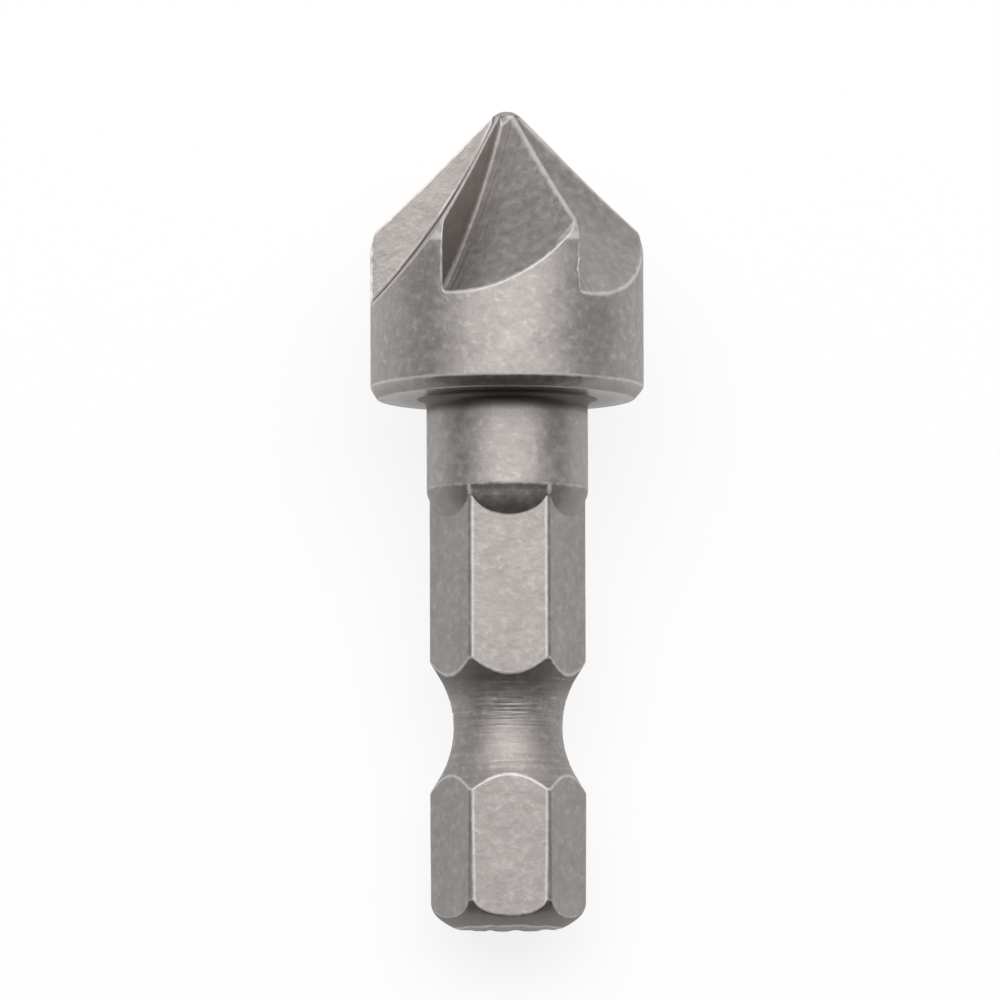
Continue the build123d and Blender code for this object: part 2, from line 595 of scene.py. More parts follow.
    def groove_at(self, height: np.ndarray) -> np.ndarray:
        """Radius of the groove: an arc with straight flanks.

        Args:
            height: Heights, in mm.

        Returns:
            The radius at each, in mm.
        """
        away = np.abs(height - self.groove_height)
        inner = np.minimum(away, self.groove_flank)
        drop = np.sqrt(self.groove_arc**2 - inner**2)
        slope = self.groove_flank / math.sqrt(self.groove_arc**2 - self.groove_flank**2)
        return self.groove_radius + self.groove_arc - drop + (away - inner) * slope

    def saw_marks(self, across: np.ndarray) -> np.ndarray:
        """Height of the tail face, where the parting saw left shallow steps across it.

        Args:
            across: Distances across the face from its middle, in mm.

        Returns:
            The height at each, in mm.
        """
        level, swing, pitch = self.saw_ripple
        total = level + swing * np.sin(across * pitch)
        for place, depth, width in self.saw_steps:
            total = total + depth * np.exp(-(((across - place) / width) ** 4))
        return total

    def chatter(self, height: np.ndarray, at: np.ndarray) -> np.ndarray:
        """Depth of the few deep rings that the grooving tool left, each broken up round the bit.

        Args:
            height: Heights, in mm.
            at: Angles round the axis, in radians.

        Returns:
            How far each point stands out, in mm, below zero in a ring.
        """
        total = np.zeros_like(height)
        for n, (place, depth, width) in enumerate(self.chatter_rings):
            waves = np.sin(at * (3.0 + n % 3) + 2.1 * n) * np.cos(at * (5.0 + n % 2) - 1.3 * n)
            wander = self.chatter_wander * np.sin(at * 4.0 + 1.7 * n)
            ring = np.exp(-(((height - place - wander) / width) ** 2))
            total -= depth * (1 + waves) * ring
        return total

    def turning(self, height: Values, at: np.ndarray) -> np.ndarray:
        """Height of the uneven rings that the turning tool left.

        Args:
            height: Heights, in mm.
            at: Angles round the axis, in radians.

        Returns:
            How far each point stands out, in mm.
        """
        rings = sum(a * np.sin(height * f + shift) for a, f, shift in self.turned_rings)
        patchy = 0.55 + 0.45 * np.sin(at * 2.0 + height * 1.7)
        return self.ring_marks * rings * patchy


@dataclass
class CuttingHead:
    """The cone with its six milled flutes, and the head's side down to the shank's top ring."""

    radius: float = 6.35
    length: float = 38.1
    tip_round: float = 1.13
    tip_knots: Knots = (
        (0.0, 38.1), (0.18, 38.09), (0.33, 38.05), (0.5, 37.95), (0.65, 37.845),
        (0.83, 37.67), (1.1, 37.4), (1.4, 37.09), (2.0, 36.479),
    )
    tip_shares: tuple[float, ...] = (0.8, 0.6, 0.4, 0.2)
    hollow: float = 0.09
    relief_width: float = 0.2
    relief_height: float = 0.65
    phase: float = -119.7
    root_height: float = 29.05
    floor_angle: float = 43.0
    cutter_radius: float = 33.5
    cutter_taper: float = 4.5
    land_width: float = 0.13
    land_wear: float = 0.55
    floor_wear_reach: float = 0.19
    wall_wear_reach: float = 0.17
    corner_wear_reach: float = 0.2
    burr: float = 0.005
    burr_reach: float = 0.05
    corner_round: float = 0.2
    side_bottom: float = 26.6
    side_turns: tuple[float, float] = (41.0, 46.5)
    side_wear_reach: float = 0.2
    burr_wear_reach: float = 0.6
    side_shares: tuple[float, ...] = (
        0.045 / 4, 0.1 / 4, 0.17 / 4, 0.1, 0.18, 0.28, 0.4, 0.55, 0.75, 1.0,
    )
    root_columns: tuple[float, ...] = (0.0, 0.012, 0.04, 0.08, 0.13, 0.19)
    floor_columns: int = 30
    land_columns: int = 6
    wall_rows: int = 18
    radial_rows: int = 44
    crowding: float = 1.55
    fairing: int = 6

    @cached_property
    def land_end(self) -> int:
        """Column of a sector's cutting edge."""
        return self.floor_columns + self.land_columns

    @cached_property
    def per(self) -> int:
        """Number of columns in a sector."""
        return self.land_end + self.wall_rows

    @cached_property
    def starts(self) -> np.ndarray:
        """Angle at which each sector starts, in degrees."""
        return self.phase + SECTOR * np.arange(SECTORS)

    @cached_property
    def regions(self) -> list[Region]:
        """Names the region of each column's face.

        Returns:
            One region after another over the whole turn.
        """
        floor = [Region.FLOOR] * self.floor_columns
        land = [Region.LAND] * self.land_columns
        return (floor + land + [Region.CUTTING_FACE] * self.wall_rows) * SECTORS

    @cached_property
    def cutter_centre(self) -> tuple[float, float]:
        """Finds the milling cutter's own axis.

        Returns:
            Its distance from the bit's axis and its height, in mm.
        """
        lean = math.radians(self.floor_angle)
        across = self.radius + self.cutter_radius * math.cos(lean)
        return across, self.root_height + self.cutter_radius * math.sin(lean)

    @cached_property
    def foot(self) -> float:
        """Distance from the axis at which the cone's relieved corner begins, in mm."""
        return self.radius - self.relief_width

    def cone(self, radius: np.ndarray) -> np.ndarray:
        """Height of the turned cone, its round tip and its relieved corner.

        Args:
            radius: Distances from the axis, in mm.

        Returns:
            Heights, in mm.
        """
        tangent = self.tip_round * math.sqrt(0.5)
        top = self.length + self.tip_round * (math.sqrt(2) - 1)
        middle, half = (tangent + self.foot) / 2, (self.foot - tangent) / 2
        sag = self.hollow * math.sqrt(2) * (1 - ((radius - middle) / half) ** 2)
        side = top - radius - np.maximum(sag, 0.0)
        dome = faired(self.tip_knots, radius)
        base = top - self.radius - self.relief_height
        share = (radius - self.foot) / self.relief_width
        corner = (top - self.foot) * (1 - share) + base * share
        outer = np.where(radius > self.foot, corner, side)
        return np.where(radius < self.tip_knots[-1][0], dome, outer)

    def floor(self, radius: np.ndarray, turn: np.ndarray) -> np.ndarray:
        """Height of a flute's floor, as the cutter's edge leaves it.

        Args:
            radius: Distances from the axis, in mm.
            turn: Angles from the cutting face, in radians.

        Returns:
            Heights, in mm.
        """
        x, y = radius * np.cos(turn), radius * np.sin(turn)
        taper = math.radians(self.cutter_taper)
        setback = self.corner_round * math.tan((math.pi / 2 - taper) / 2)
        curve = self.corner_round**2 - (self.corner_round - y) ** 2
        rounded = np.sqrt(np.maximum(curve, 0.0)) - setback
        near = y < setback * math.cos(taper)
        reach = self.cutter_radius + np.where(near, rounded, y * math.tan(taper))
        across, height = self.cutter_centre
        return height - np.sqrt(reach**2 - (x - across) ** 2)

    def exit_turn(self, radius: np.ndarray) -> np.ndarray:
        """Finds where the floor runs out through the cone.

        Args:
            radius: Distances from the axis, in mm.

        Returns:
            Angles from the cutting face, in radians.
        """
        low, high = np.zeros_like(radius), np.full_like(radius, SECTOR_TURN)
        for _ in range(HALVINGS):
            middle = (low + high) / 2
            under = self.floor(radius, middle) < self.cone(radius)
            low, high = np.where(under, middle, low), np.where(under, high, middle)
        return (low + high) / 2

    def start_radius(self) -> float:
        """Finds where a flute begins.

        Returns:
            The distance from the axis, in mm.
        """
        low, high = 0.1, 2.0
        for _ in range(HALVINGS):
            middle = (low + high) / 2
            at = np.array([middle])
            under = bool(self.floor(at, np.zeros(1))[0] < self.cone(at)[0])
            low, high = (low, middle) if under else (middle, high)
        return (low + high) / 2

    def floor_strip(self, radius: float, leave: float, cone: float) -> tuple[np.ndarray, ...]:
        """One flute's floor in a loop, from the root line to the land.

        Args:
            radius: The loop's distance from the axis, in mm.
            leave: Angle at which the floor meets the land, in radians.
            cone: Height of the cone there, in mm.

        Returns:
            Angles from the cutting face in radians, heights in mm, and edge wear.
        """
        across = radius * math.sin(min(leave, math.pi / 2))
        fillet = min(1.0, 0.45 * across / self.corner_round)
        turns = [math.asin(min(1.0, d * fillet / radius)) for d in self.root_columns]
        count = self.floor_columns - len(turns) - len(STEPPED)
        arc = radius * max(leave - turns[-1], 1e-9)
        ends = [1 - min(d / arc, 0.1 * (n + 1)) for n, d in enumerate(STEPPED)][::-1]
        even = [ends[0] * (n + 1) / (count + 1) for n in range(count)]
        turns += [turns[-1] + (leave - turns[-1]) * t for t in even + ends]
        turn = np.array([*turns, leave])
        z = self.floor(np.full(len(turn), radius), turn)
        z += (cone - z[-1]) * (turn / leave) ** self.fairing
        return turn, z, worn(radius * (leave - turn), self.floor_wear_reach)

    def land_strip(self, radius: float, leave: float, cone: float) -> tuple[np.ndarray, ...]:
        """The narrow land between a floor and the next cutting edge, worn all over.

        Args:
            radius: The loop's distance from the axis, in mm.
            leave: Angle at which the land begins, in radians.
            cone: Height of the cone there, in mm.

        Returns:
            Angles from the cutting face in radians, heights in mm, and edge wear.
        """
        width = radius * (SECTOR_TURN - leave)
        first, second = min(0.045 / width, 0.2), min(0.1 / width, 0.35)
        share = np.array([first, second, 0.5, 1 - second, 1 - first, 1.0])
        turn = leave + (SECTOR_TURN - leave) * share
        wear = np.maximum(worn(radius * (turn - leave)), worn(radius * (SECTOR_TURN - turn)))
        return turn, np.full(len(turn), cone), np.maximum(wear, self.land_wear)

    def wall_strip(self, radius: float, cone: float) -> tuple[np.ndarray, ...]:
        """The cutting face in a loop, from the cutting edge down to the next root line.

        Args:
            radius: The loop's distance from the axis, in mm.
            cone: Height of the cutting edge, in mm.

        Returns:
            Angles from the last cutting face in radians, heights in mm, and edge wear.
        """
        root = float(self.floor(np.array([radius]), np.zeros(1))[0])
        drop = max(cone - root, 1e-9)
        count = self.wall_rows - len(STEPPED) - 3
        falls = drop * np.array(supported(drop, count, STEPPED, (0.04, 0.1)))
        wear = worn(falls, self.wall_wear_reach)
        return np.full(len(falls), SECTOR_TURN), cone - falls, wear

    def loop(self, radius: float) -> tuple[np.ndarray, np.ndarray, np.ndarray]:
        """Points round the head at one distance from the axis.

        Args:
            radius: The distance, in mm.

        Returns:
            Points, edge wear and crease flags.
        """
        at = np.array([radius])
        leave = min(float(self.exit_turn(at)[0]), SECTOR_TURN - self.land_width / radius)
        cone = float(self.cone(at)[0])
        floor = self.floor_strip(radius, leave, cone)
        land = self.land_strip(radius, leave, cone)
        wall = self.wall_strip(radius, cone)
        turn, z, wear = (np.concatenate(part) for part in zip(floor, land, wall))
        crease = np.isin(np.arange(self.per), (self.floor_columns, self.land_end))
        torn = np.zeros(self.per)
        if radius > self.radius - self.burr_reach:
            share = (cone - wall[1]) / (cone - floor[1][0])
            torn[self.land_end + 1 :] = self.burr * np.sqrt(np.sin(math.pi * share))
        angles = []
        for k, start in enumerate(self.starts):
            wave = np.sin(z * 6.0 + 2.3 * k + 1.5 * np.sin(z * 4.1 + k))
            angles.append(turn + torn * wave + math.radians(start))
        points = around(radius, np.concatenate(angles), np.tile(z, SECTORS))
        return points, np.tile(wear, SECTORS), np.tile(crease, SECTORS)

    def radii(self, start: float) -> list[float]:
        """Spaces the loops from the flutes' start outwards.

        Args:
            start: Distance from the axis at which the flutes begin, in mm.

        Returns:
            Each loop's distance from the axis, in mm.
        """
        foot, count = self.foot, self.radial_rows
        reach = foot - 0.1 - start
        inner = [start + reach * (n / count) ** self.crowding for n in range(1, count + 1)]
        corner = [foot - 0.045, foot, foot + 0.05, foot + 0.11]
        return [*inner, *corner, self.radius - 0.04, self.radius]

    def build(self, shell: Shell, base: np.ndarray, base_angles: np.ndarray) -> None:
        """Adds the head above the shank's top ring.

        Args:
            shell: The surface to add to.
            base: Point numbers of the shank's top ring.
            base_angles: Their angles in degrees, rising.
        """
        start = self.start_radius()
        lands = np.array([region is Region.LAND for region in self.regions])
        rings = []
        for radius in self.radii(start):
            points, wear, crease = self.loop(radius)
            if radius == self.radius:
                crease, wear = True, 1.0
            elif radius == self.foot:
                crease = np.logical_or(crease, lands)
            if radius > self.foot + TIGHT[0]:
                edge = worn(self.radius - radius, self.corner_wear_reach)
                wear = np.maximum(wear, edge)
            rings.append(shell.ring(points, wear, crease))
        for outer, inner in zip(rings[1:], rings[:-1]):
            shell.band(outer, inner, self.regions)
        self.close_tip(shell, rings[0], start)
        self.side(shell, rings[-1], points, base, base_angles)

    def close_tip(self, shell: Shell, ring: np.ndarray, start: float) -> None:
        """Adds the small round tip inside the flutes' start.

        Args:
            shell: The surface to add to.
            ring: Point numbers of the innermost loop.
            start: Distance from the axis at which the flutes begin, in mm.
        """
        total = self.land_columns
        angle = np.radians(self.phase + SECTOR / total * np.arange(SECTORS * total))

        def dome(radius: float, wear: float) -> np.ndarray:
            """Adds one ring of the tip and gives its point numbers."""
            height = self.cone(np.full(len(angle), radius))
            return shell.ring(around(radius, angle, height), wear)

        rim = dome(start, 0.15)
        land = np.clip(np.arange(self.per) - self.floor_columns, 0, total)
        wide = [rim[(k * total + land) % len(rim)] for k in range(SECTORS)]
        shell.band(ring, np.concatenate(wide), [Region.TIP] * len(ring))
        for share in self.tip_shares:
            inner = dome(start * share, 0.1)
            shell.band(rim, inner, [Region.TIP] * len(inner))
            rim = inner
        apex = shell.ring(np.array([[0.0, 0.0, self.length]]), 0.1)[0]
        shell.fan(rim, apex, Region.TIP)

    def side(
        self,
        shell: Shell,
        top: np.ndarray,
        points: np.ndarray,
        base: np.ndarray,
        base_angles: np.ndarray,
    ) -> None:
        """Adds the head's side from the flutes' outer ends down to the shank's top ring.

        Args:
            shell: The surface to add to.
            top: Point numbers of the outermost loop.
            points: That loop's points.
            base: Point numbers of the shank's top ring.
            base_angles: Their angles in degrees, rising.
        """
        floor_end, land_end, per = self.floor_columns, self.land_end, self.per
        turn = np.arange(per + 1)
        knots = [0, floor_end, land_end, per]
        low_turn = np.interp(turn, knots, [0.0, *self.side_turns, SECTOR])[:-1]
        begin = np.repeat(self.starts, per)
        low = np.tile(low_turn, SECTORS) + begin
        turned = np.degrees(np.arctan2(points[:, 1], points[:, 0]))
        high = begin + (turned - begin + 1e-6) % 360.0 - 1e-6
        drop = points[:, 2] - self.side_bottom
        burred = np.arange(len(top)) % per > land_end
        reach = np.where(burred, self.burr_wear_reach, self.side_wear_reach)
        last = top
        for share in self.side_shares:
            angle = np.radians(high + (low - high) * share)
            rows = around(self.radius, angle, points[:, 2] - drop * share)
            ring = shell.ring(rows, worn(drop * share, reach))
            shell.band(ring, last, [Region.HEAD_SIDE] * len(ring))
            last = ring
        shift = int(np.argmin(np.abs((base_angles - low[0] + 180) % 360 - 180)))
        at = np.roll(base_angles, -shift)
        at = at[0] + (at - at[0]) % 360.0
        at = at - 360.0 * round((at[0] - low[0]) / 360.0)
        shell.zip_rings(np.roll(base, -shift), at, last, low)


@dataclass
class RestPose:
    """How the bit lies: on the rim of its head and one shank flat, point away from the tail."""

    lean: float = 7.29889
    along: float = -18.757287
    lift: float = 3.090178

    def laid(self, x: Values, y: Values, z: Values) -> tuple[Values, Values, Values]:
        """Turns directions of the standing bit the way it lies."""
        s, c = math.sin(math.radians(self.lean)), math.cos(math.radians(self.lean))
        return x, y * s + z * c, -y * c + z * s

    def point(self, position: Vector) -> Vector:
        """A point of the standing bit in mm, once it lies down, in metres."""
        return (Vector(self.laid(*position)) + Vector((0.0, self.along, self.lift))) * MM

    def points(self, standing: np.ndarray) -> np.ndarray:
        """Lays the standing bit's points down.

        Args:
            standing: One row of x, y, z for each point, in mm.

        Returns:
            The same rows where the solid model lies, in metres.
        """
        x, y, z = self.laid(*standing.T)
        return np.stack([x, y + self.along, z + self.lift], axis=1) * MM


class NodeSheet:
    """A small drawing board for shader nodes."""

    def __init__(self, tree: bpy.types.NodeTree) -> None:
        """Starts on an emptied node tree."""
        self.tree = tree
        self.tree.nodes.clear()

    def add(
        self, kind: str, inputs: dict[int | str, object] | None = None, **settings: object
    ) -> bpy.types.Node:
        """Adds a node.

        Args:
            kind: The node's type name.
            inputs: What its sockets get: numbers, colours, or sockets of other nodes.
            **settings: Properties to set on it.

        Returns:
            The node.
        """
        node = self.tree.nodes.new(kind)
        for name, value in settings.items():
            setattr(node, name, value)
        for name, source in (inputs or {}).items():
            if isinstance(source, Socket):
                self.tree.links.new(source, node.inputs[name])
            elif source is not None:
                node.inputs[name].default_value = source
        return node

    def math(self, operation: str, a: object, b: object = None, clamp: bool = False) -> Socket:
        """Adds a sum on one or two values.

        Args:
            operation: The name of the sum.
            a: First value or socket.
            b: Second value or socket.
            clamp: True to hold the result between 0 and 1.

        Returns:
            The result.
        """
        node = self.add("ShaderNodeMath", {0: a, 1: b}, operation=operation, use_clamp=clamp)
        return node.outputs[0]

    def group(self, tree: bpy.types.NodeTree, inputs: dict[str, object]) -> dict[str, Socket]:
        """Places a shared node group.

        Args:
            tree: The group.
            inputs: What its sockets get.

        Returns:
            Its outputs by name.
        """
        node = self.add("ShaderNodeGroup", inputs, node_tree=tree)
        return {socket.name: socket for socket in node.outputs}

    def total(
        self, parts: Iterable[tuple[Socket, float]], start: float | None = None
    ) -> Socket:
        """Adds up values, each with its own weight.

        Args:
            parts: Pairs of value and weight.
            start: A number to start from.

        Returns:
            The weighted total.
        """
        result = start
        for value, weight in parts:
            part = self.math("MULTIPLY", value, weight)
            result = part if result is None else self.math("ADD", result, part)
        return result

    def remap(
        self, value: Socket, source: tuple[float, float], target: tuple[float, float] = (0.0, 1.0)
    ) -> Socket:
        """Stretches a range of values onto another, held at its ends.

        Args:
            value: The value to stretch.
            source: Start and end of its range.
            target: Results at the start and at the end.

        Returns:
            The result.
        """
        names = ("From Min", "From Max", "To Min", "To Max")
        inputs = {"Value": value, **dict(zip(names, (*source, *target)))}
        return self.add("ShaderNodeMapRange", inputs).outputs["Result"]

    def grain(
        self, place: Socket, scale: float | Socket, detail: float = 3.0, rough: float = 0.5
    ) -> Socket:
        """Adds cloudy noise.

        Args:
            place: Where to read it.
            scale: Its fineness.
            detail: Number of finer layers.
            rough: Strength of the finer layers.

        Returns:
            Its value.
        """
        inputs = {"Vector": place, "Scale": scale, "Detail": detail, "Roughness": rough}
        return self.add("ShaderNodeTexNoise", inputs).outputs["Fac"]

    def blend(self, mask: Socket, a: object, b: object) -> Socket:
        """Blends two colours.

        Args:
            mask: Share of the second colour.
            a: First colour.
            b: Second colour.

        Returns:
            The blended colour.
        """
        inputs = {"Factor": mask, "A": a, "B": b}
        return self.add("ShaderNodeMix", inputs, data_type="RGBA").outputs["Result"]

    def attribute(self, name: str, output: str = "Fac") -> Socket:
        """Reads a value kept on the mesh."""
        return self.add("ShaderNodeAttribute", attribute_name=name).outputs[output]

    def switch(
        self, output: str, seen: Socket, usual: bpy.types.Node, shown: bpy.types.Node
    ) -> None:
        """Sends one shader out for the rays that see it and another for all the rest.

        Args:
            output: Type name of the output node.
            seen: Share of the second shader.
            usual: The first shader's node.
            shown: The second shader's node.
        """
        inputs = {0: seen, 1: usual.outputs[0], 2: shown.outputs[0]}
        mix = self.add("ShaderNodeMixShader", inputs)
        self.add(output, {"Surface": mix.outputs[0]})


class SharedEffects:
    """Shader node groups that the finishes share, each built once."""

    def __init__(self) -> None:
        """Builds every group."""
        self.mottle = self.build_mottle()
        self.marks = self.build_marks()
        self.burnish = self.build_burnish()

    def start(
        self, name: str, inputs: dict[str, float | None], outputs: list[str]
    ) -> tuple[bpy.types.NodeTree, NodeSheet, dict[str, Socket]]:
        """Makes a group with named sockets.

        Args:
            name: The group's name.
            inputs: Usual value of each input, or None for a place.
            outputs: Names of the outputs, each one value.

        Returns:
            The group, its drawing board, and what comes in by name.
        """
        tree = bpy.data.node_groups.new(name, "ShaderNodeTree")
        sheet = NodeSheet(tree)
        for label, value in inputs.items():
            kind = "NodeSocketVector" if value is None else "NodeSocketFloat"
            socket = tree.interface.new_socket(label, in_out="INPUT", socket_type=kind)
            if value is not None:
                socket.default_value = value
        for label in outputs:
            tree.interface.new_socket(label, in_out="OUTPUT", socket_type="NodeSocketFloat")
        source = sheet.add("NodeGroupInput")
        return tree, sheet, {label: source.outputs[label] for label in inputs}

    def build_mottle(self) -> bpy.types.NodeTree:
        """Cloudy patches and fine speckle left by blasting and tumbling.

        Returns:
            The group.
        """
        tree, sheet, given = self.start(
            "mottled_steel",
            {"Place": None, "Patches": 0.8, "Blotches": 2.6, "Speckle": 7.0},
            ["Patches", "Blotches", "Speckle", "Streaks"],
        )
        place, made = given["Place"], {}
        for name, rough in (("Patches", 0.6), ("Blotches", 0.55), ("Speckle", 0.65)):
            made[name] = sheet.remap(sheet.grain(place, given[name], 3.0, rough), (0.32, 0.68))
        bend = sheet.add("ShaderNodeTexNoise", {"Vector": place, "Scale": 0.9})
        shifted = {0: place, 1: bend.outputs["Color"]}
        moved = sheet.add("ShaderNodeVectorMath", shifted, operation="ADD").outputs["Vector"]
        level = sheet.math("SUBTRACT", sheet.grain(moved, 2.2, 1.0, 0.4), 0.5)
        line = sheet.remap(sheet.math("ABSOLUTE", level), (0.0, 0.11), (1.0, 0.0))
        some = sheet.remap(sheet.grain(place, 2.4, 2.0), (0.5, 0.7))
        made["Streaks"] = sheet.math("MULTIPLY", line, some)
        sheet.add("NodeGroupOutput", made)
        return tree

    def build_marks(self) -> bpy.types.NodeTree:
        """Fine lines along a tool's path.

        Returns:
            The group.
        """
        tree, sheet, given = self.start(
            "tool_marks", {"Path": None, "Fineness": 8.0, "Stretch": 0.05}, ["Lines"]
        )
        split = sheet.add("ShaderNodeSeparateXYZ", {0: given["Path"]}).outputs
        along = sheet.math("MULTIPLY", split["X"], given["Stretch"])
        join = sheet.add("ShaderNodeCombineXYZ", {"X": along, "Y": split["Y"], "Z": split["Z"]})
        lines = sheet.grain(join.outputs[0], given["Fineness"], 3.0, 0.7)
        sheet.add("NodeGroupOutput", {"Lines": sheet.remap(lines, (0.34, 0.66))})
        return tree

    def build_burnish(self) -> bpy.types.NodeTree:
        """Where edges are rubbed bright.

        Returns:
            The group.
        """
        tree, sheet, given = self.start(
            "burnished_edges", {"Place": None, "Wear": 0.0, "Breakup": 0.5}, ["Mask"]
        )
        broken = sheet.remap(sheet.grain(given["Place"], 2.6, 3.0, 0.6), (0.35, 0.65))
        loss = sheet.math("MULTIPLY", sheet.math("MULTIPLY", broken, given["Breakup"]), 0.6)
        mask = sheet.math("SUBTRACT", given["Wear"], loss, clamp=True)
        sheet.add("NodeGroupOutput", {"Mask": sheet.remap(mask, (0.1, 0.75))})
        return tree


@dataclass(frozen=True)
class TumbledSteel:
    """Bare steel, blasted and tumbled to an even matte grey with bright rubbed edges, darkened by
    painted shade on the faces that lie in shade.
    """

    slot: str = "steel"
    light: Colour = (0.535, 0.502, 0.483, 1.0)
    dark: Colour = (0.333, 0.309, 0.297, 1.0)
    # Colour of the painted shade: a dark tint for faces turned to the tail, for recesses and for
    # the shade under the head.
    painted_shade: Colour = (0.1, 0.088, 0.08, 1.0)
    # Colour of rubbed edges, also used for the painted highlight on the hex's edges and for the
    # streaks.
    edge: Colour = (0.665, 0.635, 0.62, 1.0)
    metallic: float = 1.0
    roughness: float = 0.46
    patches: float = 0.8
    blotches: float = 2.4
    speckle: float = 5.0
    tone_shares: tuple[float, float, float] = (0.3, 0.45, 0.25)
    line_fineness: float = 5.0
    line_stretch: float = 0.06
    line_strength: float = 0.45
    edge_breakup: float = 0.6
    edge_dulling: float = 0.3
    streak_strength: tuple[float, float] = (0.6, 0.05)
    rough_shares: tuple[float, float, float] = (0.08, 0.06, -0.2)
    relief_shares: tuple[float, float, float, float] = (0.12, 0.5, 0.2, 0.8)
    bump_strength: float = 0.35
    bump_depth: float = 0.000025

    def material(self, effects: SharedEffects) -> bpy.types.Material:
        """Builds the finish.

        Args:
            effects: The shared node groups.

        Returns:
            The material.
        """
        made = bpy.data.materials.new("tumbled_steel")
        made.use_nodes = True
        sheet = NodeSheet(made.node_tree)
        inputs = {0: sheet.add("ShaderNodeTexCoord").outputs["Object"], "Scale": 1 / MM}
        place = sheet.add("ShaderNodeVectorMath", inputs, operation="SCALE").outputs["Vector"]
        fineness = {"Patches": self.patches, "Blotches": self.blotches, "Speckle": self.speckle}
        mottle = sheet.group(effects.mottle, {"Place": place, **fineness})
        path = sheet.attribute("tool_path", "Vector")
        run = {"Path": path, "Fineness": self.line_fineness, "Stretch": self.line_stretch}
        lines = sheet.group(effects.marks, run)["Lines"]
        # The edge wear kept on the mesh also carries the painted highlight on the hex's edges
        # beside every other flat.
        edges = {"Place": place, "Wear": sheet.attribute("edge_wear_and_highlight"), "Breakup": self.edge_breakup}
        rubbed = sheet.group(effects.burnish, edges)["Mask"]
        cut, smooth = sheet.attribute("tool_cut"), sheet.attribute("smooth_cut")
        scored = sheet.math("MULTIPLY", lines, cut)
        between = sheet.math("MULTIPLY", sheet.math("SUBTRACT", 1.0, lines), cut)
        patches, blotches, speckle, streaks = mottle.values()

        colour = sheet.total(zip((patches, blotches, speckle), self.tone_shares))
        colour = sheet.blend(colour, self.dark, self.light)
        matte = sheet.remap(smooth, (-0.2, 0.7), self.streak_strength)
        for mask, layer in (
            (sheet.math("MULTIPLY", scored, self.line_strength), self.light),
            (sheet.math("MULTIPLY", between, self.line_strength), self.dark),
            (sheet.math("MULTIPLY", streaks, matte), self.edge),
            # Painted shade: darkens the colour by the shares kept on the mesh.
            (sheet.attribute("painted_shade"), self.painted_shade),
            # Rubbed edges, with the painted highlight on the hex's edges beside every other flat.
            (rubbed, self.edge),
        ):
            colour = sheet.blend(mask, colour, layer)
        dulled = sheet.math("MULTIPLY", rubbed, self.edge_dulling)
        bare = sheet.math("SUBTRACT", self.metallic, dulled)
        rough = sheet.total(zip((blotches, rubbed, smooth), self.rough_shares), self.roughness)
        relief = sheet.total(zip((speckle, blotches, streaks, scored), self.relief_shares))
        bumps = {"Strength": self.bump_strength, "Distance": self.bump_depth, "Height": relief}
        bump = sheet.add("ShaderNodeBump", bumps).outputs["Normal"]
        shader = sheet.add(
            "ShaderNodeBsdfPrincipled",
            {"Base Color": colour, "Metallic": bare, "Roughness": rough, "Normal": bump},
        )
        sheet.add("ShaderNodeOutputMaterial", {"Surface": shader.outputs[0]})
        return made


class Measure(Enum):
    """What a share of painted shade or tool marks can depend on, in mm."""

    HEIGHT = auto()
    RADIUS = auto()
    FROM_ROOT = auto()


@dataclass(frozen=True)
class Fade:
    """A share that eases from one value to another along a measure of the surface."""

    measure: Measure
    start: float
    end: float
    first: float
    last: float

    def at(self, measures: dict[Measure, np.ndarray]) -> np.ndarray:
        """Reads the share for the given measures of the surface."""
        way = (measures[self.measure] - self.start) / (self.end - self.start)
        return self.first + (self.last - self.first) * eased(way)


Shares = dict[Region, float | Fade]


